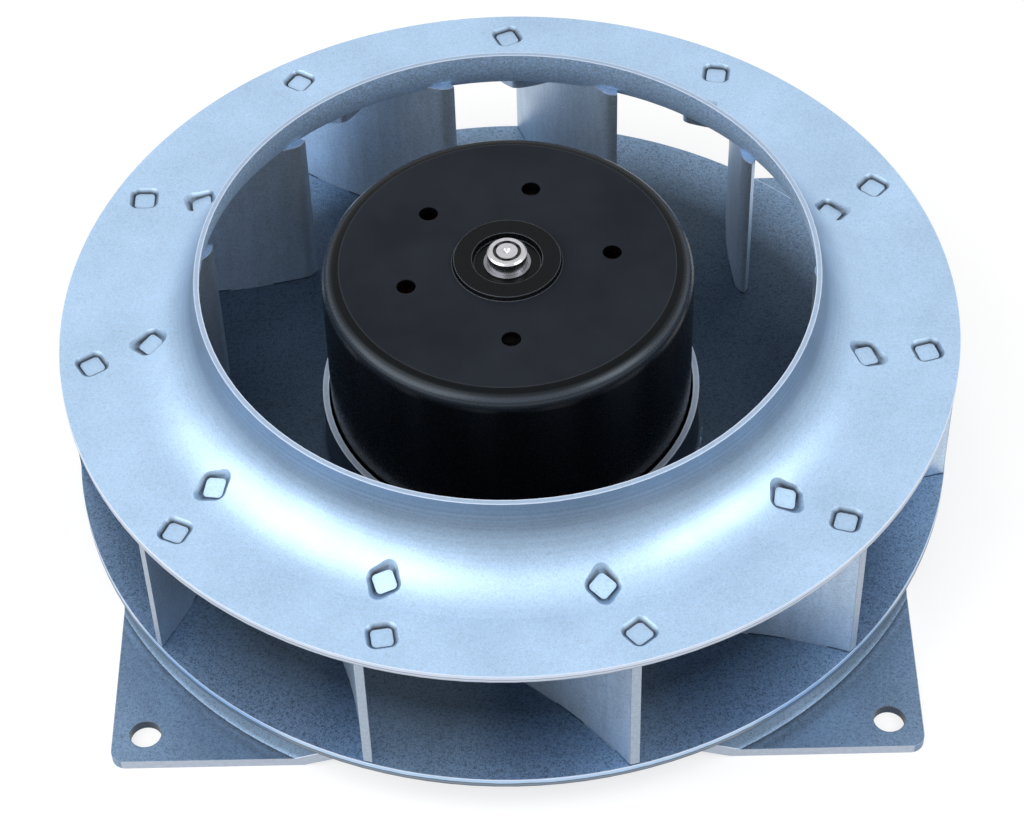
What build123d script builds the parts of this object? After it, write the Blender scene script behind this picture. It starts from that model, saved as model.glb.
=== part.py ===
from build123d import *
import os
from math import acos, asin, atan2, cos, degrees, hypot, radians, sin, tan

# Centrifugal fan: a backward-curved wheel of galvanised sheet on an external-rotor motor.
# Millimetres. +Z points up to the inlet, and the origin is the middle of the mounting plate's underside.

# Sheet metal
sheet = 2.4
plate_sheet = 3.0
throat_sheet = 1.5

# Clearances: running or push fits, pieces that rest on each other, loose fits, and how far a cut runs past
fit = 0.05
contact = 0.02
loose = 0.2
overrun = 1.0

# Mounting plate
plate_side = 219.0
plate_corner = 4.0
plate_hole = 8.5
plate_hole_spacing = 201.0
dish_height = 4.0
dish_radius = 119.0
dish_step = 5.6

# Wheel
wheel_radius = 125.0
back_plate_underside = 10.6
shroud_underside = 56.9
throat_radius = 84.3
throat_top = 79.5
collar_bore = 52.0
collar_wall = 1.8
collar_top = 31.1
collar_root = 3.0

# Blades
blade_count = 11
first_blade = 22.6
blade_inner_radius = 87.0
blade_curve = 140.0
outlet_lean = 22.0
nose_radius = 4.0
nose_turn = 55.0
nose_top = 67.5
foot_gap = 0.3
rim_setback = 0.3
tab_spans = ((92.0, 101.0), (109.0, 119.0))
tab_stake = 0.8

# Clinch dents that hold the shroud to the blades' lugs
dent_mouth = 8.4
dent_floor = 5.6
dent_side = 7.5
dent_corner = 1.2
dent_depth = 1.2
outer_dent_radius = 116.0
outer_dent_turn = 1.6
inner_dent_radius = 100.0
inner_dent_turn = -1.0
lug_length = 10.0
lug_margin = 2.0
lug_sweep = 50.0

# Rotor
rotor_foot = 11.6
rotor_land_radius = 51.95
rotor_land_top = 22.0
rotor_land_bevel = 1.0
rotor_radius_low = 51.4
rotor_radius_high = 51.2
rotor_shoulder = 5.0
rotor_top = 79.8
rotor_wall = 2.0
rotor_inside = 48.6
boss_radius = 15.2
boss_height = 1.3
recess_radius = 9.2
recess_floor = 79.3
rotor_hole = 5.3
rotor_hole_circle = 28.9
rotor_hole_bearings = (5.3, 76.2, 138.6, 197.5, 271.6)
boss_draft = 0.5

# Shaft, bush and bearings
shaft_radius = 4.0
shaft_foot = 7.0
shaft_top = 83.9
bearing_radius = 11.0
bearing_width = 7.0
bearing_race = 5.5
bearing_shoulder = 1.5
lower_bearing_foot = 10.0
upper_bearing_foot = 60.0
bush_radius = 5.5
bush_flange_radius = 9.5
bush_flange_height = 4.8
bush_chamfer = 0.5
hub_ring_radius = 6.5
hub_ring_height = 0.5
centre_drill_radius = 1.1
stake_radius = 3.4
stake_width = 0.8
stake_depth = 0.5
stake_arcs = ((145, 70), (-35, 70), (75, 30), (255, 30))
circlip_seat = 3.7
circlip_sheet = 1.0
circlip_gap = 2.5
washer_height = 1.2
washer_sheet = 0.5
washer_width = 2.5
cap_sheet = 0.8
cap_height = 4.0

# Stator
flange_radius = 46.0
flange_thickness = 3.0
tube_radius = 14.0
tube_top = 69.0
spigot_radius = 20.0
rib_count = 6
rib_width = 3.0
rib_height = 3.0
rib_reach = 42.0
screw_count = 4
screw_bearing = 45.0
screw_circle = 33.0
screw_radius = 2.0
screw_length = 8.0
screw_head_radius = 3.5
screw_head_height = 2.4
screw_socket = 1.25
socket_floor = 1.1
boss_width = 9.0
stator_radius = 41.7
stator_foot = 24.0
stator_top = 62.0
slot_count = 12
slot_inner = 20.0
slot_outer = 37.5
slot_mouth = 2.5
tooth_width = 6.0
insulator_sheet = 0.8
insulator_rim = 2.0
winding_overhang = 7.2
winding_clearance = 0.3
winding_bevel = 2.5
air_gap = 0.4
core_foot = 22.0
core_top = 64.0
bar_count = 24
bar_width = 2.4
bar_height = 3.2
bar_circle = 45.2
cage_ring_height = 4.0
cage_margin = 0.8

# Lead passage
lead_passage_radius = 5.0
lead_passage_circle = 27.0
grommet_bore = 3.0
grommet_lip = 1.4

# Sizes that follow from those above
plate_raised = dish_height + plate_sheet
back_plate_top = back_plate_underside + plate_sheet
shroud_top = shroud_underside + sheet
bell_radius = throat_top - shroud_underside
bell_centre = throat_radius + bell_radius
upper_run = bell_radius - throat_sheet
upper_rise = bell_radius - sheet
upper_bell_radius = (upper_run**2 + upper_rise**2) / (2 * upper_rise)
upper_bell_height = shroud_top + upper_bell_radius
blade_foot = back_plate_top + foot_gap
blade_pitch = 360 / blade_count
blade_bearings = [first_blade + blade_pitch * number for number in range(blade_count)]
blade_inside = blade_inner_radius - 2 * nose_radius
tab_foot = back_plate_underside - tab_stake

os.makedirs("parts", exist_ok=True)


def save(piece, name):
    """Label a finished piece and write its file."""
    piece.part.label = name
    export_step(piece.part, f"parts/{name}.step")


# Blade curve in plan: one arc, with its centre ahead of the blade and outside the wheel
curve_x = wheel_radius + blade_curve * sin(radians(outlet_lean))
curve_y = -blade_curve * cos(radians(outlet_lean))
curve_reach = hypot(curve_x, curve_y)


def curve_angle(radius):
    """Angle at the arc's centre between the wheel's axis and the blade at this radius."""
    near = blade_curve**2 + curve_reach**2 - radius**2
    return degrees(acos(near / (2 * blade_curve * curve_reach)))


def blade_heading(radius):
    """Heading of the blade at this radius, outer end on the X axis, seen going inwards."""
    return 180 + outlet_lean + curve_angle(wheel_radius) - curve_angle(radius)


def blade_plan(bearing, height, width, inner, outer):
    """Plan section of one blade between two radii, with its rolled nose."""
    arc = curve_angle(wheel_radius) - curve_angle(blade_inner_radius)
    with BuildSketch(Plane.XY.offset(height).rotated((0, 0, bearing))) as plan:
        with BuildLine():
            runout = degrees(overrun / blade_curve)
            camber = CenterArc((curve_x, curve_y), blade_curve, 90 + outlet_lean - runout, arc + runout)
            JernArc(camber @ 1, camber % 1, nose_radius, nose_turn)
        trace(line_width=width)
        Circle(outer, mode=Mode.INTERSECT)
        Circle(inner, mode=Mode.SUBTRACT)
    return plan.sketch


def tab_plans(bearing, height, clearance):
    """Plan sections of a blade's tabs, or of their slots where there is clearance."""
    width = sheet + 2 * clearance
    return [
        blade_plan(bearing, height, width, inner - clearance, outer + clearance)
        for inner, outer in tab_spans
    ]


def dent_plane(bearing, radius, turn):
    """Workplane on the shroud's upper face: X runs along the blade, Z out of the sheet."""
    reach = max(bell_centre - radius, 0)
    slope = asin(reach / upper_bell_radius)
    height = upper_bell_height - upper_bell_radius * cos(slope)
    outward = Vector(1, 0, 0).rotate(Axis.Z, bearing + turn)
    normal = outward * sin(slope) + Vector(0, 0, cos(slope))
    along = Vector(1, 0, 0).rotate(Axis.Z, bearing + blade_heading(radius))
    along = along - normal * along.dot(normal)
    return Plane(origin=outward * radius + Vector(0, 0, height), x_dir=along, z_dir=normal)


def dent_planes(bearing):
    """Workplanes of a blade's outer and inner clinch dents."""
    outer = dent_plane(bearing, outer_dent_radius, outer_dent_turn)
    inner = dent_plane(bearing, inner_dent_radius, inner_dent_turn)
    return outer, inner


# Punch that presses one dent: its flat nose at the dent's floor, its flared sides out past the mouth
with BuildPart() as dent_punch:
    flared = 2 * dent_mouth - dent_floor
    with BuildSketch(Plane.XY.offset(-dent_depth)):
        RectangleRounded(dent_floor, dent_floor, dent_corner)
    with BuildSketch(Plane.XY.offset(dent_depth)):
        RectangleRounded(flared, flared, dent_corner + (flared - dent_floor) / 2)
    loft()

# Shroud: flat ring that sweeps up into the inlet and thins there, dented into the lugs of the blades
all_dents = [plane for bearing in blade_bearings for plane in dent_planes(bearing)]
with BuildPart() as shroud:
    with BuildSketch(Plane.XZ):
        with BuildLine():
            sweep = degrees(asin(upper_run / upper_bell_radius))
            lower_bell = CenterArc((bell_centre, throat_top), bell_radius, 180, 90)
            upper_bell = CenterArc((bell_centre, upper_bell_height), upper_bell_radius, 270 - sweep, sweep)
            Line(lower_bell @ 0, upper_bell @ 0)
            rim_foot = (wheel_radius, shroud_underside)
            rim_head = (wheel_radius, shroud_top)
            Polyline(lower_bell @ 1, rim_foot, rim_head, upper_bell @ 1)
        make_face()
    revolve(axis=Axis.Z)
    with BuildSketch(*[plane.offset(-sheet / 2) for plane in all_dents]):
        RectangleRounded(dent_side, dent_side, dent_corner)
    extrude(amount=-(dent_depth + sheet / 2))
    with Locations(*[plane.location for plane in all_dents]):
        add(dent_punch.part, mode=Mode.SUBTRACT)
save(shroud, "shroud")

# Back plate: flat disc with a collar drawn up round the rotor, and slots for the tabs
with BuildPart() as back_plate:
    with BuildSketch(Plane.XZ):
        with BuildLine():
            inner_radius = collar_root / 2
            collar_outside = collar_bore + collar_wall
            upper_root = (collar_outside, back_plate_top + inner_radius)
            upper_foot = (collar_outside + inner_radius, back_plate_top)
            lower_root = (collar_bore, back_plate_underside + collar_root)
            lower_foot = (collar_bore + collar_root, back_plate_underside)
            Polyline(lower_root, (collar_bore, collar_top), (collar_outside, collar_top), upper_root)
            RadiusArc(upper_root, upper_foot, -inner_radius)
            rim_head = (wheel_radius, back_plate_top)
            rim_foot = (wheel_radius, back_plate_underside)
            Polyline(upper_foot, rim_head, rim_foot, lower_foot)
            RadiusArc(lower_foot, lower_root, collar_root)
        make_face()
    revolve(axis=Axis.Z)
    for bearing in blade_bearings:
        for slot in tab_plans(bearing, back_plate_underside, fit):
            extrude(slot, amount=plate_sheet, mode=Mode.SUBTRACT)
save(back_plate, "back_plate")


def under_shroud(thickness, sweep):
    """Profile of what lies under the shroud: a layer of this thickness, up the bell by an angle."""
    rim = wheel_radius - rim_setback
    top = shroud_underside - contact
    middle = (bell_centre, throat_top)
    start = 270 - sweep
    with BuildSketch(Plane.XZ) as layer:
        with BuildLine():
            upper = CenterArc(middle, bell_radius + contact, start, sweep)
            lower = CenterArc(middle, bell_radius + contact + thickness, start, sweep)
            Line(upper @ 0, lower @ 0)
            Polyline(upper @ 1, (rim, top), (rim, top - thickness), lower @ 1)
        make_face()
    return layer.sketch


def blade_envelope():
    """Profile that a blade's wall fills: foot, rim, underside of the shroud, top of the nose."""
    rim = wheel_radius - rim_setback
    top = shroud_underside - contact
    bell = bell_radius + contact
    sweep = degrees(acos((throat_top - nose_top) / bell))
    with BuildSketch(Plane.XZ) as envelope:
        with BuildLine():
            flank = CenterArc((bell_centre, throat_top), bell, 270 - sweep, sweep)
            Polyline(flank @ 1, (rim, top), (rim, blade_foot))
            Polyline((rim, blade_foot), (blade_inside, blade_foot), (blade_inside, nose_top), flank @ 0)
        make_face()
    return envelope.sketch


def lug_plan(bearing, radius, turn):
    """Plan of a lug: from the wall's middle line to past the far side of its dent."""
    dent_x = radius * cos(radians(turn))
    dent_y = radius * sin(radians(turn))
    wall_distance = hypot(dent_x - curve_x, dent_y - curve_y) - blade_curve
    overhang = dent_side / 2 + lug_margin
    seat = dent_plane(bearing, radius, turn).origin
    heading = bearing + blade_heading(radius)
    level = Plane(origin=(seat.X, seat.Y, blade_foot)).rotated((0, 0, heading))
    with BuildSketch(level) as plan:
        with Locations((0, (wall_distance - overhang) / 2)):
            Rectangle(lug_length, wall_distance + overhang)
        fillet(plan.vertices().group_by(Axis.Y)[0], lug_margin)
    return plan.sketch


def make_blade(bearing):
    """One blade: a curved wall with a rolled nose, two tabs below and two lugs above."""
    with BuildPart() as wall:
        wall_plan = blade_plan(bearing, blade_foot, sheet, blade_inside, wheel_radius)
        extrude(wall_plan, amount=nose_top - blade_foot)
        revolve(blade_envelope(), axis=Axis.Z, mode=Mode.INTERSECT)

    with BuildPart() as lugs:
        extrude(lug_plan(bearing, outer_dent_radius, outer_dent_turn), amount=nose_top - blade_foot)
        extrude(lug_plan(bearing, inner_dent_radius, inner_dent_turn), amount=nose_top - blade_foot)
        revolve(under_shroud(sheet, lug_sweep), axis=Axis.Z, mode=Mode.INTERSECT)
        with BuildSketch(*[plane.offset(-sheet / 2) for plane in dent_planes(bearing)]):
            RectangleRounded(dent_side + 2 * fit, dent_side + 2 * fit, dent_corner)
        extrude(amount=-2 * sheet - dent_depth, mode=Mode.SUBTRACT)

    with BuildPart() as blade:
        add(wall.part)
        add(lugs.part)
        for tab in tab_plans(bearing, tab_foot, 0):
            extrude(tab, amount=blade_foot + sheet - tab_foot)
    return blade


pattern_blade = make_blade(first_blade)
for number in range(blade_count):
    with BuildPart() as blade:
        with Locations(Location((0, 0, 0), (0, 0, blade_pitch * number))):
            add(pattern_blade.part)
    save(blade, f"blade_{number + 1:02d}")


def turned_section(*points):
    """Section of a turned piece, given as radius and height pairs."""
    with BuildSketch(Plane.XZ) as section:
        with BuildLine():
            Polyline(*points, close=True)
        make_face()
    return section.sketch


# Mounting plate: square, with the middle pressed up as a shallow dish
with BuildPart() as mounting_plate:
    slope = degrees(atan2(dish_height, dish_step))
    fold = plate_sheet * tan(radians(slope / 2))
    centre_hole = spigot_radius + fit
    revolve(
        turned_section(
            (centre_hole, dish_height),
            (dish_radius - fold, dish_height),
            (dish_radius + dish_step - fold, 0),
            (plate_side, 0),
            (plate_side, plate_sheet),
            (dish_radius + dish_step, plate_sheet),
            (dish_radius, plate_raised),
            (centre_hole, plate_raised),
        ),
        axis=Axis.Z,
    )
    with BuildSketch():
        RectangleRounded(plate_side, plate_side, plate_corner)
    extrude(amount=plate_raised, mode=Mode.INTERSECT)
    with BuildSketch():
        with GridLocations(plate_hole_spacing, plate_hole_spacing, 2, 2):
            Circle(plate_hole / 2)
        with PolarLocations(screw_circle, screw_count, start_angle=screw_bearing):
            Circle(screw_radius + loose)
        with Locations((0, lead_passage_circle)):
            Circle(lead_passage_radius)
    extrude(amount=plate_raised, mode=Mode.SUBTRACT)
save(mounting_plate, "mounting_plate")

# Motor flange: cast disc and bearing tube, ribbed, with bosses for its screws
with BuildPart() as motor_flange:
    seat = bearing_radius + contact
    tube_bore = bearing_radius - bearing_shoulder
    disc_top = plate_raised + flange_thickness
    washer_seat = upper_bearing_foot - washer_height
    revolve(
        turned_section(
            (seat, dish_height),
            (spigot_radius, dish_height),
            (spigot_radius, plate_raised),
            (flange_radius, plate_raised),
            (flange_radius, disc_top),
            (tube_radius + rib_height, disc_top),
            (tube_radius, disc_top + rib_height),
            (tube_radius, tube_top),
            (seat, tube_top),
            (seat, washer_seat),
            (tube_bore, washer_seat),
            (tube_bore, lower_bearing_foot + bearing_width),
            (seat, lower_bearing_foot + bearing_width),
        ),
        axis=Axis.Z,
    )
    with BuildSketch(Plane.XY.offset(disc_top)):
        with PolarLocations((tube_radius + rib_reach) / 2, rib_count):
            Rectangle(rib_reach - tube_radius, rib_width)
        with PolarLocations(screw_circle, screw_count, start_angle=screw_bearing):
            Circle(boss_width / 2)
    extrude(amount=rib_height)
    with BuildSketch(Plane.XY.offset(plate_raised)):
        with PolarLocations(screw_circle, screw_count, start_angle=screw_bearing):
            Circle(screw_radius + fit)
        with Locations((0, lead_passage_circle)):
            Circle(lead_passage_radius)
    extrude(amount=flange_thickness + rib_height, mode=Mode.SUBTRACT)
save(motor_flange, "motor_flange")

# Flange screws: heads sit in the hollow under the dish, above the mounting face
with BuildPart() as flange_screws:
    with BuildSketch(Plane.XY.offset(dish_height)):
        with PolarLocations(screw_circle, screw_count, start_angle=screw_bearing):
            Circle(screw_radius)
    extrude(amount=screw_length)
    with BuildSketch(Plane.XY.offset(dish_height - screw_head_height)):
        with PolarLocations(screw_circle, screw_count, start_angle=screw_bearing):
            Circle(screw_head_radius)
            RegularPolygon(screw_socket, 6, major_radius=False, mode=Mode.SUBTRACT)
    extrude(amount=screw_head_height - socket_floor)
    with BuildSketch(Plane.XY.offset(dish_height - socket_floor)):
        with PolarLocations(screw_circle, screw_count, start_angle=screw_bearing):
            Circle(screw_head_radius)
    extrude(amount=socket_floor)
save(flange_screws, "flange_screws")

# Lead grommet: rubber bush that lines the hole through plate and flange
with BuildPart() as lead_grommet:
    with BuildSketch(Plane.XY.offset(dish_height - grommet_lip)):
        with Locations((0, lead_passage_circle)):
            Circle(lead_passage_radius + grommet_lip)
    extrude(amount=grommet_lip)
    with BuildSketch(Plane.XY.offset(dish_height)):
        with Locations((0, lead_passage_circle)):
            Circle(lead_passage_radius - contact)
    extrude(amount=disc_top - dish_height + grommet_lip)
    with BuildSketch(Plane.XY.offset(dish_height - grommet_lip)):
        with Locations((0, lead_passage_circle)):
            Circle(grommet_bore)
    extrude(amount=disc_top, mode=Mode.SUBTRACT)
save(lead_grommet, "lead_grommet")

# Bearing cap: pressed cup that closes the lower mouth of the bearing tube
with BuildPart() as bearing_cap:
    rim_outside = bearing_radius - contact
    rim_inside = rim_outside - cap_sheet
    revolve(
        turned_section(
            (0, dish_height),
            (rim_outside, dish_height),
            (rim_outside, dish_height + cap_height),
            (rim_inside, dish_height + cap_height),
            (rim_inside, dish_height + cap_sheet),
            (0, dish_height + cap_sheet),
        ),
        axis=Axis.Z,
    )
save(bearing_cap, "bearing_cap")

# Bearings: the shielded outer ring stands still, and the inner ring turns with the shaft
for name, foot in (("lower_bearing", lower_bearing_foot), ("upper_bearing", upper_bearing_foot)):
    with BuildPart() as outer_ring:
        with BuildSketch(Plane.XY.offset(foot)):
            Circle(bearing_radius - contact)
            Circle(bearing_race + fit, mode=Mode.SUBTRACT)
        extrude(amount=bearing_width)
    save(outer_ring, name)
    with BuildPart() as inner_ring:
        with BuildSketch(Plane.XY.offset(foot)):
            Circle(bearing_race)
            Circle(shaft_radius, mode=Mode.SUBTRACT)
        extrude(amount=bearing_width)
    save(inner_ring, f"{name}_inner_ring")

# Preload washer: coned spring under the upper bearing's outer ring
with BuildPart() as preload_washer:
    washer_inside = bearing_radius - washer_width
    washer_outside = bearing_radius - loose
    revolve(
        turned_section(
            (washer_inside, washer_seat),
            (washer_outside, washer_seat + washer_height - washer_sheet),
            (washer_outside, washer_seat + washer_height),
            (washer_inside, washer_seat + washer_sheet),
        ),
        axis=Axis.Z,
    )
save(preload_washer, "preload_washer")


def slots_plan(height, clearance):
    """Plan of the stator's slots, between parallel-sided teeth."""
    tooth_length = 2 * (slot_outer - slot_inner)
    with BuildSketch(Plane.XY.offset(height)) as plan:
        Circle(slot_outer - clearance)
        Circle(slot_inner + clearance, mode=Mode.SUBTRACT)
        with PolarLocations((slot_outer + slot_inner) / 2, slot_count):
            Rectangle(tooth_length, tooth_width + 2 * clearance, mode=Mode.SUBTRACT)
    return plan.sketch


# Stator core: laminated stack on the bearing tube
with BuildPart() as stator_core:
    with BuildSketch(Plane.XY.offset(stator_foot)):
        Circle(stator_radius)
        Circle(tube_radius + contact, mode=Mode.SUBTRACT)
        add(slots_plan(0, 0), mode=Mode.SUBTRACT)
        with PolarLocations(stator_radius, slot_count, start_angle=180 / slot_count):
            Rectangle(2 * (stator_radius - slot_outer + overrun), slot_mouth, mode=Mode.SUBTRACT)
    extrude(amount=stator_top - stator_foot)
save(stator_core, "stator_core")

# Slot insulators: moulded plates on both ends of the stack
for name, foot in (("lower_insulator", stator_foot - insulator_sheet), ("upper_insulator", stator_top)):
    with BuildPart() as insulator:
        with BuildSketch(Plane.XY.offset(foot)):
            Circle(slot_outer + insulator_rim)
            Circle(slot_inner - insulator_rim, mode=Mode.SUBTRACT)
            add(slots_plan(0, 0), mode=Mode.SUBTRACT)
        extrude(amount=insulator_sheet)
    save(insulator, name)

# Winding: copper in the slots, joined by end turns with bevelled corners
with BuildPart() as stator_winding:
    slots_foot = stator_foot - insulator_sheet
    slots_top = stator_top + insulator_sheet
    extrude(slots_plan(slots_foot, winding_clearance), amount=slots_top - slots_foot)
    with BuildSketch(Plane.XZ):
        middle = (slot_inner + slot_outer) / 2
        width = slot_outer - slot_inner - 2 * winding_clearance
        lower_middle = slots_foot - winding_overhang / 2
        upper_middle = slots_top + winding_overhang / 2
        with Locations((middle, lower_middle), (middle, upper_middle)):
            end_turns = Rectangle(width, winding_overhang)
        chamfer(end_turns.vertices(), winding_bevel)
    revolve(axis=Axis.Z)
save(stator_winding, "stator_winding")


def bars_plan(height):
    """Plan of the rotor cage's bars."""
    with BuildSketch(Plane.XY.offset(height)) as plan:
        with PolarLocations(bar_circle, bar_count):
            Rectangle(bar_height, bar_width)
    return plan.sketch


# Rotor core: laminated ring round the stator
with BuildPart() as rotor_core:
    with BuildSketch(Plane.XY.offset(core_foot)):
        Circle(rotor_inside - contact)
        Circle(stator_radius + air_gap, mode=Mode.SUBTRACT)
        add(bars_plan(0), mode=Mode.SUBTRACT)
    extrude(amount=core_top - core_foot)
save(rotor_core, "rotor_core")

# Rotor cage: cast bars in the core's slots, with a ring at each end
with BuildPart() as rotor_cage:
    extrude(bars_plan(core_foot), amount=core_top - core_foot)
    ring_planes = (Plane.XY.offset(core_foot - cage_ring_height), Plane.XY.offset(core_top))
    with BuildSketch(*ring_planes):
        Circle(bar_circle + bar_height / 2 + cage_margin)
        Circle(bar_circle - bar_height / 2 - cage_margin, mode=Mode.SUBTRACT)
    extrude(amount=cage_ring_height)
save(rotor_cage, "rotor_cage")

# Rotor cup: deep drawn, with a press land at its mouth and a raised centre round the shaft
with BuildPart() as rotor_cup:
    with BuildSketch(Plane.XZ):
        with BuildLine():
            shoulder = (rotor_radius_high, rotor_top - rotor_shoulder)
            crown = (rotor_radius_high - rotor_shoulder, rotor_top)
            inner_shoulder = (rotor_inside, rotor_top - rotor_shoulder)
            inner_crown = (crown[0], rotor_top - rotor_wall)
            boss_inside = boss_radius - rotor_wall
            recess_inside = recess_radius + rotor_wall
            recess_underside = recess_floor - rotor_wall
            Polyline(
                (rotor_inside, rotor_foot),
                (rotor_land_radius, rotor_foot),
                (rotor_land_radius, rotor_land_top),
                (rotor_radius_low, rotor_land_top + rotor_land_bevel),
                shoulder,
            )
            RadiusArc(shoulder, crown, -rotor_shoulder)
            Polyline(
                crown,
                (boss_radius, rotor_top),
                (boss_radius - boss_draft, rotor_top + boss_height),
                (recess_radius + boss_draft, rotor_top + boss_height),
                (recess_radius, recess_floor),
                (bush_radius + fit, recess_floor),
                (bush_radius + fit, recess_underside),
                (recess_inside, recess_underside),
                (recess_inside, rotor_top + boss_height - rotor_wall),
                (boss_inside, rotor_top + boss_height - rotor_wall),
                (boss_inside, rotor_top - rotor_wall),
                inner_crown,
                inner_shoulder,
                (rotor_inside, rotor_foot),
            )
        make_face()
    revolve(axis=Axis.Z)
    with BuildSketch(Plane.XY.offset(rotor_top)):
        for bearing in rotor_hole_bearings:
            with PolarLocations(rotor_hole_circle, 1, start_angle=bearing):
                Circle(rotor_hole / 2)
    extrude(amount=-2 * rotor_wall, mode=Mode.SUBTRACT)
save(rotor_cup, "rotor_cup")

# Hub bush: flanged, under the cup's floor, with its neck up through the cup
with BuildPart() as hub_bush:
    revolve(
        turned_section(
            (shaft_radius, upper_bearing_foot + bearing_width),
            (bearing_race - fit, upper_bearing_foot + bearing_width),
            (bearing_race - fit, recess_floor - rotor_wall - bush_flange_height),
            (bush_flange_radius, recess_floor - rotor_wall - bush_flange_height),
            (bush_flange_radius, recess_floor - rotor_wall),
            (bush_radius, recess_floor - rotor_wall),
            (bush_radius, shaft_top - bush_chamfer),
            (bush_radius - bush_chamfer, shaft_top),
            (shaft_radius, shaft_top),
        ),
        axis=Axis.Z,
    )
save(hub_bush, "hub_bush")

# Hub ring: bright ring at the foot of the bush's neck
with BuildPart() as hub_ring:
    with BuildSketch(Plane.XY.offset(recess_floor)):
        Circle(hub_ring_radius)
        Circle(bush_radius + contact, mode=Mode.SUBTRACT)
    extrude(amount=hub_ring_height)
save(hub_ring, "hub_ring")

# Shaft: grooved for its circlip below, centre drilled and staked to the bush above
with BuildPart() as shaft:
    revolve(
        turned_section(
            (0, shaft_foot),
            (shaft_radius, shaft_foot),
            (shaft_radius, lower_bearing_foot - circlip_sheet),
            (circlip_seat, lower_bearing_foot - circlip_sheet),
            (circlip_seat, lower_bearing_foot),
            (shaft_radius, lower_bearing_foot),
            (shaft_radius, shaft_top),
            (centre_drill_radius, shaft_top),
            (0, shaft_top - centre_drill_radius),
        ),
        axis=Axis.Z,
    )
    with BuildSketch(Plane.XY.offset(shaft_top)):
        for start, sweep in stake_arcs:
            SlotArc(CenterArc((0, 0), stake_radius, start, sweep), stake_width)
    extrude(amount=-stake_depth, mode=Mode.SUBTRACT)
save(shaft, "shaft")

# Circlip: keeps the shaft from rising through the lower bearing
with BuildPart() as circlip:
    with BuildSketch(Plane.XY.offset(lower_bearing_foot - circlip_sheet)):
        Circle(bearing_race - fit)
        Circle(circlip_seat, mode=Mode.SUBTRACT)
        with Locations((shaft_radius, 0)):
            Rectangle(2 * (bearing_race - circlip_seat + overrun), circlip_gap, mode=Mode.SUBTRACT)
    extrude(amount=circlip_sheet)
save(circlip, "shaft_circlip")
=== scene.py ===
from math import cos, pi, radians, sin

import bmesh
import bpy
from mathutils import Matrix, Vector


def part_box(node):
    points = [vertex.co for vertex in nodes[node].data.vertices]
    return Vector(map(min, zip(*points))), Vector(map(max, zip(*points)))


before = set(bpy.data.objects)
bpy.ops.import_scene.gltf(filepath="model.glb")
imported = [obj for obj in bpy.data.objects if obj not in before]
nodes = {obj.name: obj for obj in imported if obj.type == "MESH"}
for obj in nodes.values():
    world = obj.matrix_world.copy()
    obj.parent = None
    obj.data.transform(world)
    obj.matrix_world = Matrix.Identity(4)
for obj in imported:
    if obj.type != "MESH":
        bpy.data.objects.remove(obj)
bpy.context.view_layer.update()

# Lengths are metres, written in millimetres
MM = 0.001

# Thickness of the wheel's sheets
shroud_sheet = 2.4 * MM
throat_sheet = 1.5 * MM
collar_sheet = 1.8 * MM
back_plate_sheet = 3.0 * MM

# Wheel: the bell is the round stretch between the shroud's flat ring and its throat
wheel_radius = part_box("shroud")[1][0]
inlet_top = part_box("shroud")[1][2]
shroud_top = 59.3 * MM
shroud_foot = shroud_top - shroud_sheet
throat_radius = 84.3 * MM
throat_middle = throat_radius + throat_sheet / 2
bell_radius = 21.1 * MM
bell_centre = throat_radius + throat_sheet + bell_radius
bell_centre_height = shroud_top + bell_radius
dent_depth = 1.2 * MM
back_plate_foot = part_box("back_plate")[0][2]
back_plate_top = back_plate_foot + back_plate_sheet
collar_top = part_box("back_plate")[1][2]
collar_bore = 52.0 * MM
collar_middle = collar_bore + collar_sheet / 2
blade_end = 124.7 * MM

# Rotor: flat top, raised boss round the bush, and the band of its shoulder that carries a painted sheen
# with scratch lines
rotor_flat = 79.8 * MM
flat_radius = 46.2 * MM
boss_radius = 15.2 * MM
crest_radius = 49.8 * MM
crest_width = 1.7 * MM
crest_foot = rotor_flat - 4.5 * MM
staking_radius = 3.4 * MM

# Mounting plate: round slope pressed up towards its middle, and corner holes
plate_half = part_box("mounting_plate")[1][0]
slope_head = 119.0 * MM
slope_foot = 124.6 * MM
slope_middle = (slope_head + slope_foot) / 2
hole_spacing = 201.0 * MM
hole_radius = 4.25 * MM

# Photo's view, fitted as a pinhole camera that looks at the wheel's axis
view_elevation = radians(48.85)
view_distance = 836.5 * MM
view_turn = radians(0.7)
view_pitch = radians(0.104)
view_roll = radians(-1.763)
frame_width = 1024
focal_pixels = 2879.6
sensor_width = 36.0
clip_near = 0.01
clip_far = 20.0

# Surroundings: light from the walls and the ceiling, where 1 is white, lamps and floor
wall_light = 0.45
ceiling_light = 0.72
lamp_distance = 0.9
floor_reach = 6.0
floor_grey = (0.32, 0.32, 0.32, 1.0)
floor_glow = 0.72

# Zinc: sizes of its crystals, clouds and grain, and how far from a corner the painted shade of crevices
# reaches
crystal_size = 0.6 * MM
cloud_size = 28 * MM
grain_size = 0.35 * MM
crevice_reach = 1.5 * MM

# Painted features: width over which a mask fades out, and how far the surface bends at an edge before it
# gets a painted highlight
hair = 0.1 * MM
glint_bend = 0.06

# Period of the wave pattern at a scale of 1
wave_period = 0.3

# Colours
white = (1.0, 1.0, 1.0, 1.0)
zinc_blue = (0.46, 0.64, 0.86, 1.0)
deep_blue = (0.37, 0.56, 0.82, 1.0)
blade_grey = (0.51, 0.63, 0.77, 1.0)
cut_steel = (0.62, 0.70, 0.83, 1.0)
dull_steel = (0.36, 0.43, 0.52, 1.0)
throat_steel = (0.36, 0.48, 0.64, 1.0)
dark_edge = (0.20, 0.25, 0.31, 1.0)
polished_steel = (0.60, 0.60, 0.63, 1.0)
grey_steel = (0.26, 0.27, 0.29, 1.0)
aluminium = (0.62, 0.63, 0.64, 1.0)


# Camera

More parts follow.
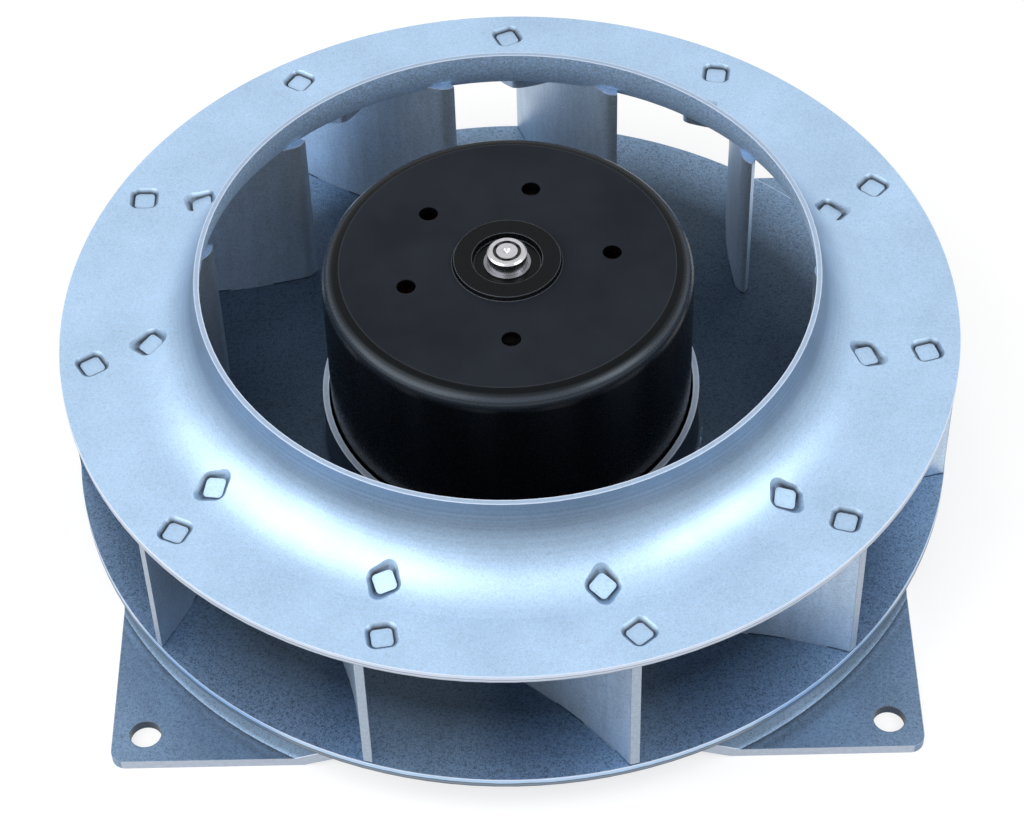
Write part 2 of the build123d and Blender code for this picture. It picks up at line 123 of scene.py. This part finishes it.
def make_camera():
    data = bpy.data.cameras.new("camera")
    data.sensor_width = sensor_width
    data.lens = focal_pixels * sensor_width / frame_width
    data.clip_start = clip_near
    data.clip_end = clip_far
    camera = bpy.data.objects.new("camera", data)
    turn = Matrix.Rotation(view_turn, 4, "Z")
    tilt = Matrix.Rotation(pi / 2 - view_elevation + view_pitch, 4, "X")
    roll = Matrix.Rotation(view_roll, 4, "Z")
    place = Vector((0, -view_distance * cos(view_elevation), view_distance * sin(view_elevation)))
    lift = Matrix.Translation((0, 0, back_plate_top))
    camera.matrix_world = lift @ turn @ Matrix.Translation(place) @ tilt @ roll
    bpy.context.scene.collection.objects.link(camera)
    bpy.context.scene.camera = camera


# Materials: a small kit for building node trees

class Tree:
    """A material's node tree, with short calls for the nodes used here."""

    def __init__(self, name, **fixed):
        self.material = bpy.data.materials.new(name)
        self.material.use_nodes = True
        self.tree = self.material.node_tree
        self.shader = self.tree.nodes["Principled BSDF"]
        for socket, value in fixed.items():
            self.shader.inputs[socket.replace("_", " ")].default_value = value

    def node(self, kind, inputs=None, **settings):
        made = self.tree.nodes.new(kind)
        for name, value in settings.items():
            setattr(made, name, value)
        for name, value in (inputs or {}).items():
            self.feed(made.inputs[name], value)
        return made

    def feed(self, socket, value):
        if isinstance(value, bpy.types.NodeSocket):
            self.tree.links.new(value, socket)
        else:
            socket.default_value = value

    def set(self, **values):
        for socket, value in values.items():
            self.feed(self.shader.inputs[socket.replace("_", " ")], value)

    def math(self, operation, first, second=0.0):
        return self.node("ShaderNodeMath", {0: first, 1: second}, operation=operation).outputs[0]

    def plus(self, first, second):
        return self.math("ADD", first, second)

    def minus(self, first, second):
        return self.math("SUBTRACT", first, second)

    def times(self, first, second):
        return self.math("MULTIPLY", first, second)

    def off(self, value, middle):
        """Distance of a value from a middle, on either side."""
        return self.math("ABSOLUTE", self.minus(value, middle))

    def length(self, first, second):
        """Length of the diagonal of two lengths."""
        return self.math("SQRT", self.plus(self.times(first, first), self.times(second, second)))

    def span(self, value, low, high, to_low=0.0, to_high=1.0):
        """Value mapped from one span to another, and held to it."""
        made = self.node("ShaderNodeMapRange", {0: value, 1: low, 2: high, 3: to_low, 4: to_high})
        return made.outputs[0]

    def spread(self, noise, low, high, margin=0.3):
        """Noise mapped to a span from its middle values, those over this margin from 0 and from 1."""
        return self.span(noise, margin, 1 - margin, low, high)

    def mix(self, share, first, second):
        made = self.node("ShaderNodeMix", data_type="RGBA")
        self.feed(made.inputs[0], share)
        self.feed(made.inputs[6], first)
        self.feed(made.inputs[7], second)
        return made.outputs[2]

    def vector(self, operation, first, second):
        return self.node("ShaderNodeVectorMath", {0: first, 1: second}, operation=operation)

    def scale(self, colour, factor):
        """Colour or vector times a factor."""
        made = self.node("ShaderNodeVectorMath", {0: colour, "Scale": factor}, operation="SCALE")
        return made.outputs[0]

    def place(self):
        return self.node("ShaderNodeTexCoord").outputs["Object"]

    def axes(self):
        made = self.node("ShaderNodeSeparateXYZ", {0: self.place()})
        return made.outputs[0], made.outputs[1], made.outputs[2]

    def radius(self):
        x, y, _ = self.axes()
        return self.length(x, y)

    def height(self):
        return self.axes()[2]

    def profile(self):
        """Place in the half plane through the axis, where a pattern makes rings."""
        return self.node("ShaderNodeCombineXYZ", {0: self.radius(), 1: self.height()}).outputs[0]

    def noise(self, size, detail=2.0, distortion=0.0, roughness=0.5, where=None):
        """Noise whose features are about this size."""
        made = self.node(
            "ShaderNodeTexNoise",
            {"Vector": where or self.place(), "Scale": 1 / size, "Detail": detail,
             "Distortion": distortion, "Roughness": roughness},
        )
        return made.outputs["Fac"]

    def lines(self, pitch, kind, distortion=0.0):
        """Lines this far apart: rings about the axis, or bands across it."""
        directions = {"RINGS": "rings_direction", "BANDS": "bands_direction"}
        made = self.node(
            "ShaderNodeTexWave",
            {"Vector": self.place(), "Scale": wave_period / pitch, "Distortion": distortion},
            wave_type=kind, **{directions[kind]: "Z"},
        )
        return made.outputs["Fac"]

    def bump(self, height, depth, normal=None):
        made = self.node("ShaderNodeBump", {"Height": height, "Distance": depth, "Strength": 1.0})
        if normal is not None:
            self.feed(made.inputs["Normal"], normal)
        return made.outputs[0]

    def rounded(self, radius):
        """Normal of the surface as if its edges were rounded."""
        return self.node("ShaderNodeBevel", {"Radius": radius}, samples=4).outputs[0]

    def edges(self, radius):
        """1 on edges, where the rounded normal leaves the true one."""
        true = self.node("ShaderNodeNewGeometry").outputs["True Normal"]
        dot = self.vector("DOT_PRODUCT", self.rounded(radius), true)
        return self.span(dot.outputs["Value"], 1.0, 1.0 - glint_bend)

    def crevices(self, reach):
        """Share of the surroundings that is open within this reach, lowest in corners and dents."""
        made = self.node("ShaderNodeAmbientOcclusion", {"Distance": reach}, samples=8, only_local=True)
        return made.outputs["AO"]

    def facing(self, sine, cosine):
        """How squarely the surface faces a direction that leans out by the sine and up by the cosine."""
        coordinates = self.node("ShaderNodeTexCoord").outputs
        level = self.vector("MULTIPLY", coordinates["Object"], (1.0, 1.0, 0.0))
        outward = self.vector("NORMALIZE", level.outputs[0], (0.0, 0.0, 0.0))
        upward = self.node("ShaderNodeCombineXYZ", {2: cosine}).outputs[0]
        aim = self.vector("ADD", self.scale(outward.outputs[0], sine), upward)
        return self.vector("DOT_PRODUCT", aim.outputs[0], coordinates["Normal"]).outputs["Value"]


def shade(colour, factor):
    return tuple(min(channel * factor, 1.0) for channel in colour[:3]) + (1.0,)


# Masks: 1 where a feature is, and 0 elsewhere

def ring_mask(radius):
    """Cut edge at this radius."""
    return lambda made: made.span(made.radius(), radius - 2 * hair, radius - hair)


def top_mask(height):
    """Cut edge at this height."""
    return lambda made: made.span(made.height(), height - 2 * hair, height - hair)


def side_mask(made):
    """Cut edges of the square plate."""
    x, y, _ = made.axes()
    reach = made.math("MAXIMUM", made.math("ABSOLUTE", x), made.math("ABSOLUTE", y))
    return made.span(reach, plate_half - 2 * hair, plate_half - hair)


def under_mask(made):
    """Shroud's underside and the inside of its throat, where the sheet faces down or inwards."""
    return made.span(made.facing(1.0, 1.0), 0.0, -0.2)


def staking_shade(made):
    """Ring where the shaft's end is staked into the bush, painted near black as shade in its groove."""
    ring = made.span(made.off(made.radius(), staking_radius), 0.55 * MM, 0.40 * MM)
    return made.times(ring, made.span(made.height(), rotor_flat, rotor_flat + 1 * MM))


# Galvanised sheet: zinc crystals, clouds and fine grain, with painted shade in crevices and a painted
# highlight on edges

def galvanised(name, colour, tone, contrast, washes=(), cuts=(), dull=None, crevice_shade=0.25):
    """Zinc-coated sheet. The contrast is that of its crystals, washes scale its tone, each cut is a mask
    and its colour, dull marks rough zinc, and crevice_shade is the tone of the painted shade in crevices."""
    made = Tree(name, Metallic=0.82)
    crystals = made.noise(crystal_size, distortion=1.4)
    clouds = made.noise(cloud_size, detail=4.0, roughness=0.6)
    grain = made.noise(grain_size, detail=1.0)
    openness = made.crevices(crevice_reach)

    factor = made.span(crystals, 0.38, 0.54, tone * (1 - contrast), tone * (1 + contrast / 2))
    factor = made.times(factor, made.spread(clouds, 1.04, 0.88))
    factor = made.times(factor, made.spread(grain, 0.93, 1.07))
    for wash in washes:
        factor = made.times(factor, wash(made))
    # Painted shade: the zinc darkens in crevices and dents, where little of the surroundings is open
    factor = made.times(factor, made.span(openness, 0.45, 0.93, crevice_shade, 1.0))

    # Painted highlight: convex edges turn pale, as cut steel
    edge_glint = made.times(made.edges(0.12 * MM), made.span(openness, 0.7, 0.95, 0.0, 0.8))
    base = made.mix(edge_glint, made.scale(colour[:3], factor), cut_steel)
    for mask, cut_colour in cuts:
        base = made.mix(mask(made), base, cut_colour(made))

    rough = made.plus(made.spread(crystals, 0.34, 0.48), made.spread(clouds, -0.03, 0.04))
    if dull is not None:
        rough = made.plus(rough, made.times(dull(made), 0.35))
    bumps = made.plus(made.times(crystals, 0.6), made.times(grain, 0.4))
    normal = made.bump(bumps, 0.03 * MM, made.rounded(0.15 * MM))
    made.set(Base_Color=base, Roughness=rough, Normal=normal)
    return made.material


# Washes: each gives the factor by which the zinc's tone changes from place to place, most of them as
# painted shade or highlight

def under_shroud_shade(made):
    """Painted shade under the shroud: the zinc's tone rises from dark inside towards the wheel's rim."""
    return made.span(made.radius(), 0.82 * wheel_radius, wheel_radius, 1.0, 4.6)


def dent_shade(made):
    """Painted shade on the walls of the clinch dents, which lean away from the bell round them, darkest
    at the foot.
    """
    radius = made.radius()
    sine = made.span(radius, bell_centre - bell_radius, bell_centre, 1.0, 0.0)
    cosine = made.math("SQRT", made.minus(1.0, made.times(sine, sine)))
    leaning = made.span(made.facing(sine, cosine), 0.97, 0.80)
    inward = made.math("MINIMUM", made.minus(radius, bell_centre), 0.0)
    drop = made.minus(bell_centre_height, made.height())
    depth = made.minus(made.length(inward, drop), bell_radius)
    # Painted shade: deeper into the dent, the wall is darker
    loss = made.span(depth, dent_depth / 8, 0.75 * dent_depth, 0.28, 0.92)
    walls = made.minus(1.0, made.times(leaning, loss))
    return made.math("MAXIMUM", walls, under_mask(made))


def bell_wash(made):
    """Painted shade darkening the bell outside towards the throat, with faint rings on it, and speckled
    zinc inside.
    """
    height = made.height()
    # Painted shade: darker towards the throat
    throat_shade = made.span(height, inlet_top - 17.5 * MM, inlet_top - 7 * MM, 1.0, 0.42)
    rings = made.spread(made.noise(0.6 * MM, detail=3.0, where=made.profile()), -1.0, 1.0, margin=0.35)
    strength = made.span(height, shroud_top + 2 * MM, inlet_top - 6 * MM, 0.0, 0.08)
    outside = made.times(throat_shade, made.plus(1.0, made.times(strength, rings)))
    speckle = made.spread(made.noise(0.7 * MM, detail=3.0), 0.80, 1.12, margin=0.35)
    return made.math("MAXIMUM", outside, made.times(under_mask(made), speckle))


def streak_wash(made):
    """Faint upright draw marks."""
    stretched = made.vector("MULTIPLY", made.place(), (1.0, 1.0, 0.15)).outputs[0]
    return made.spread(made.noise(2.5 * MM, detail=3.0, where=stretched), 0.94, 1.03, margin=0.35)


def step_shade_and_glint(made):
    """Painted shade on the slope pressed into the mounting plate, under the wheel's rim, and a painted
    highlight as a paler line at its foot.
    """
    radius = made.radius()
    slope = made.span(made.off(radius, slope_middle), 1.8 * MM, 4.4 * MM, 0.42, 1.0)
    # Painted highlight: paler line at the slope's foot
    line = made.span(made.off(radius, slope_foot + 1 * MM), 0.4 * MM, 2.0 * MM, 1.5, 1.0)
    return made.times(slope, line)


def hole_shade(made):
    """Painted shade on the walls of the corner holes."""
    x, y, _ = made.axes()
    off_x = made.minus(made.math("ABSOLUTE", x), hole_spacing / 2)
    off_y = made.minus(made.math("ABSOLUTE", y), hole_spacing / 2)
    return made.span(made.length(off_x, off_y), hole_radius, hole_radius + 2 * hair, 0.2, 1.0)


# Colours of the cut edges

def plain_cut(made):
    """Cut steel with a little grain."""
    return made.mix(made.noise(1.5 * MM, detail=3.0), shade(cut_steel, 0.60), shade(cut_steel, 0.85))


def plain_end(made):
    """Dull cut steel with streaks across the sheet."""
    streaks = made.noise(0.8 * MM, detail=3.0, distortion=0.5)
    return made.mix(streaks, shade(dull_steel, 0.75), shade(dull_steel, 1.3))


def lip(middle, body, line):
    """Cut edge of a round wall, with a painted highlight as a paler line along both of its corners."""
    def colour(made):
        grain = made.mix(made.noise(1.5 * MM, detail=3.0), shade(body, 0.85), shade(body, 1.15))
        corner_glint = made.span(made.off(made.radius(), middle), 0.35 * MM, 0.65 * MM)
        # Painted highlight along both corners of the edge
        return made.mix(corner_glint, grain, line)
    return colour


def sheared(foot, top, upper, lower):
    """Sheared edge of a sheet, upwards: shadow, lower band, dark line, upper band, bright line."""
    def colour(made):
        wander = made.spread(made.noise(6 * MM, detail=3.0), -0.04, 0.04)
        share = made.plus(made.span(made.height(), foot, top), wander)
        shadow = shade(lower, 0.4)
        body = made.mix(made.span(share, 0.0, 0.14), shadow, lower)
        body = made.mix(made.span(share, 0.38, 0.42), body, shadow)
        body = made.mix(made.span(share, 0.46, 0.52), body, upper)
        return made.mix(made.span(share, 0.84, 0.90), body, shade(cut_steel, 1.15))
    return colour


# Black rotor: deep black sides and boss, charcoal flat top, painted sheen with scratch lines on the
# shoulder, painted highlight on the boss's edges

def rotor_black():
    made = Tree("rotor_black", IOR=1.45, Specular_Tint=(0.80, 0.90, 1.0, 1.0))
    radius = made.radius()
    height = made.height()
    speckle = made.noise(0.5 * MM)
    clouds = made.noise(18 * MM, detail=3.0)

    flat = made.times(made.span(radius, flat_radius, flat_radius - hair),
                      made.span(height, rotor_flat - 3 * hair, rotor_flat - hair))
    flat = made.times(flat, made.span(radius, boss_radius - hair, boss_radius))
    rim_line = made.times(made.span(made.off(radius, flat_radius), 2 * hair, 0.0), 0.5)
    scratches = made.span(made.noise(0.25 * MM, where=made.profile()), 0.35, 0.6, 0.45, 1.0)
    # Painted sheen: a paler band along the shoulder's bend, broken by scratch lines
    crest_sheen = made.times(made.span(made.off(radius, crest_radius), crest_width, 2 * hair), scratches)
    crest_sheen = made.times(crest_sheen, made.span(height, crest_foot, crest_foot + 1.5 * MM))
    # Painted highlight on the boss's edges
    boss_edge_glint = made.times(made.edges(0.35 * MM), made.span(radius, boss_radius + 5 * hair, boss_radius))

    black = made.mix(speckle, (0.0008, 0.001, 0.0013, 1), (0.002, 0.0024, 0.003, 1))
    charcoal = made.mix(made.spread(clouds, 0.0, 1.0), (0.010, 0.012, 0.017, 1), (0.015, 0.018, 0.025, 1))
    base = made.mix(rim_line, made.mix(flat, black, charcoal), (0.06, 0.07, 0.085, 1))
    base = made.mix(crest_sheen, base, (0.024, 0.032, 0.044, 1))
    base = made.mix(boss_edge_glint, base, (0.10, 0.11, 0.13, 1))
    rough = made.plus(made.span(flat, 0.0, 1.0, 0.26, 0.55), made.spread(speckle, -0.03, 0.04))
    shine = made.plus(made.span(flat, 0.0, 1.0, 0.16, 0.10), made.times(crest_sheen, 0.45))
    normal = made.bump(speckle, 0.01 * MM, made.rounded(0.4 * MM))
    made.set(Base_Color=base, Roughness=rough, Specular_IOR_Level=shine, Normal=normal)
    return made.material


# Other metals, plastic and rubber

def turned(name, colour, roughness, dark=None):
    """Turned steel with fine rings about the axis, painted nearly black as shade where the mask says."""
    made = Tree(name, Metallic=1.0)
    rings = made.lines(0.12 * MM, "RINGS", distortion=0.6)
    wear = made.noise(2 * MM, detail=4.0)
    base = made.mix(made.span(wear, 0.35, 0.7, 0.0, 0.5), colour, shade(colour, 0.7))
    if dark is not None:
        # Painted shade: near black where the mask says
        base = made.mix(dark(made), base, shade(colour, 0.08))
    rough = made.plus(made.span(rings, 0.0, 1.0, roughness - 0.05, roughness + 0.05),
                      made.spread(wear, -0.03, 0.05))
    normal = made.bump(rings, 0.004 * MM, made.rounded(0.2 * MM))
    made.set(Base_Color=base, Roughness=rough, Normal=normal)
    return made.material


def cast(name, colour, roughness):
    """Cast metal with a sandy skin."""
    made = Tree(name, Metallic=0.9)
    grit = made.noise(0.6 * MM, detail=4.0)
    clouds = made.noise(12 * MM, detail=3.0)
    base = made.mix(made.spread(clouds, 0.0, 1.0), shade(colour, 0.85), colour)
    rough = made.span(grit, 0.2, 0.8, roughness - 0.08, roughness + 0.1)
    made.set(Base_Color=base, Roughness=rough, Normal=made.bump(grit, 0.06 * MM, made.rounded(0.4 * MM)))
    return made.material


def laminated(name):
    """Stack of thin electrical steel sheets, with a line for each."""
    made = Tree(name, Metallic=0.85)
    stain = made.noise(6 * MM, detail=4.0)
    base = made.mix(made.spread(stain, 0.0, 1.0), (0.20, 0.21, 0.23, 1), (0.34, 0.35, 0.37, 1))
    normal = made.bump(made.lines(0.5 * MM, "BANDS"), 0.05 * MM)
    made.set(Base_Color=base, Roughness=made.spread(stain, 0.4, 0.55), Normal=normal)
    return made.material


def copper(name):
    """Enamelled copper wire, wound round in fine turns."""
    made = Tree(name, Metallic=0.8, Coat_Weight=0.5)
    wires = made.lines(0.6 * MM, "RINGS", distortion=1.5)
    base = made.mix(wires, (0.30, 0.10, 0.03, 1), (0.62, 0.27, 0.10, 1))
    rough = made.span(wires, 0.0, 1.0, 0.3, 0.45)
    made.set(Base_Color=base, Roughness=rough, Normal=made.bump(wires, 0.1 * MM))
    return made.material


def moulded(name, dark, light, roughness):
    """Moulded plastic or rubber with a fine skin."""
    made = Tree(name)
    skin = made.noise(0.4 * MM, detail=3.0)
    base = made.mix(made.noise(10 * MM), dark, light)
    rough = made.spread(skin, roughness - 0.05, roughness + 0.05)
    made.set(Base_Color=base, Roughness=rough, Normal=made.bump(skin, 0.015 * MM, made.rounded(0.2 * MM)))
    return made.material


# Which material each node wears

def dress(material, *names):
    for name in names:
        for slot in nodes[name].material_slots:
            slot.material = material


def dress_shroud():
    rim = sheared(shroud_foot, shroud_top, cut_steel, shade(cut_steel, 0.85))
    mouth = lip(throat_middle, throat_steel, shade(cut_steel, 1.05))
    cuts = ((ring_mask(wheel_radius), rim), (top_mask(inlet_top), mouth))
    washes = (bell_wash, dent_shade)
    dress(galvanised("shroud_zinc", zinc_blue, 1.0, 0.09, washes, cuts, dull=under_mask), "shroud")


def dress_back_plate():
    rim = sheared(back_plate_foot, back_plate_top, zinc_blue, dark_edge)
    collar = lip(collar_middle, dull_steel, shade(cut_steel, 0.8))
    cuts = ((ring_mask(wheel_radius), rim), (top_mask(collar_top), collar))
    # Painted shade: the back plate's low tone of 0.125 stands for the shade under the shroud, lifted
    # towards the rim by the wash
    dress(galvanised("back_plate_zinc", deep_blue, 0.125, 0.42, (under_shroud_shade,), cuts), "back_plate")


def dress_blades():
    blades = [name for name in nodes if name.startswith("blade_")]
    cuts = ((ring_mask(blade_end), plain_end),)
    dress(galvanised("blade_zinc", blade_grey, 1.12, 0.15, (streak_wash,), cuts), *blades)


def dress_mounting_plate():
    washes = (step_shade_and_glint, hole_shade)
    cuts = ((side_mask, plain_cut),)
    dress(galvanised("plate_zinc", deep_blue, 0.54, 0.28, washes, cuts, crevice_shade=1.0), "mounting_plate")


def dress_motor():
    dress(rotor_black(), "rotor_cup")
    dress(turned("staked_steel", polished_steel, 0.24, dark=staking_shade), "shaft", "hub_bush")
    dress(turned("ring_steel", grey_steel, 0.35), "hub_ring")
    dress(turned("bright_steel", polished_steel, 0.24),
          "shaft_circlip", "lower_bearing", "upper_bearing", "lower_bearing_inner_ring",
          "upper_bearing_inner_ring", "preload_washer", "bearing_cap", "flange_screws")
    dress(cast("cast_aluminium", aluminium, 0.42), "motor_flange", "rotor_cage")
    dress(laminated("electrical_steel"), "stator_core", "rotor_core")
    dress(copper("copper_winding"), "stator_winding")
    dress(moulded("insulator_plastic", (0.55, 0.53, 0.45, 1), (0.7, 0.68, 0.6, 1), 0.5),
          "lower_insulator", "upper_insulator")
    dress(moulded("rubber", (0.012, 0.012, 0.012, 1), (0.022, 0.022, 0.022, 1), 0.6), "lead_grommet")


# Surroundings: white room, pale floor and soft lamps

def background_rays(tree):
    """1 for the rays by which the background is seen, straight or in metal and glass."""
    path = tree.nodes.new("ShaderNodeLightPath")
    seen = path.outputs["Is Camera Ray"]
    for ray in ("Is Glossy Ray", "Is Transmission Ray"):
        either = tree.nodes.new("ShaderNodeMath")
        either.operation = "MAXIMUM"
        tree.links.new(seen, either.inputs[0])
        tree.links.new(path.outputs[ray], either.inputs[1])
        seen = either.outputs[0]
    return seen


def make_world():
    """White where it is seen; in its light, brighter overhead than at the walls."""
    world = bpy.data.worlds.new("studio")
    bpy.context.scene.world = world
    world.use_nodes = True
    tree = world.node_tree
    place = tree.nodes.new("ShaderNodeTexCoord")
    split = tree.nodes.new("ShaderNodeSeparateXYZ")
    tree.links.new(place.outputs["Generated"], split.inputs[0])
    lit = tree.nodes.new("ShaderNodeMapRange")
    tree.links.new(split.outputs["Z"], lit.inputs["Value"])
    lit.inputs["To Min"].default_value = wall_light
    lit.inputs["To Max"].default_value = ceiling_light
    strength = tree.nodes.new("ShaderNodeMix")
    tree.links.new(background_rays(tree), strength.inputs["Factor"])
    tree.links.new(lit.outputs[0], strength.inputs["A"])
    strength.inputs["B"].default_value = 1.0
    background = tree.nodes["Background"]
    background.inputs["Color"].default_value = white
    tree.links.new(strength.outputs[0], background.inputs["Strength"])


def make_lamp(name, azimuth, elevation, radiance, size):
    """Round soft lamp on a sphere about the wheel, aimed at the shroud's middle."""
    data = bpy.data.lights.new(name, "AREA")
    data.shape = "DISK"
    data.size = size
    data.energy = radiance * pi * size * size
    lamp = bpy.data.objects.new(name, data)
    level = lamp_distance * cos(radians(elevation))
    rise = lamp_distance * sin(radians(elevation))
    place = Vector((level * cos(radians(azimuth)), level * sin(radians(azimuth)), rise))
    aim = Vector((0, 0, shroud_top))
    lamp.location = place
    lamp.rotation_euler = (place - aim).to_track_quat("Z", "Y").to_euler()
    bpy.context.scene.collection.objects.link(lamp)


def make_floor():
    mesh = bpy.data.meshes.new("floor")
    form = bmesh.new()
    bmesh.ops.create_grid(form, x_segments=1, y_segments=1, size=floor_reach)
    form.to_mesh(mesh)
    form.free()
    floor = bpy.data.objects.new("floor", mesh)
    bpy.context.scene.collection.objects.link(floor)
    made = Tree("floor_white", Roughness=0.9, Specular_IOR_Level=0.0)
    glow = made.times(background_rays(made.tree), floor_glow)
    made.set(Base_Color=floor_grey, Emission_Color=white, Emission_Strength=glow)
    mesh.materials.append(made.material)


make_camera()
dress_shroud()
dress_back_plate()
dress_blades()
dress_mounting_plate()
dress_motor()
make_world()
make_lamp("left_front", azimuth=204, elevation=45, radiance=1.55, size=0.98)
make_lamp("right_front", azimuth=338, elevation=46, radiance=2.6, size=0.48)
make_lamp("above", azimuth=250, elevation=68, radiance=0.35, size=0.70)
make_floor()
bpy.context.scene.view_settings.view_transform = "Standard"
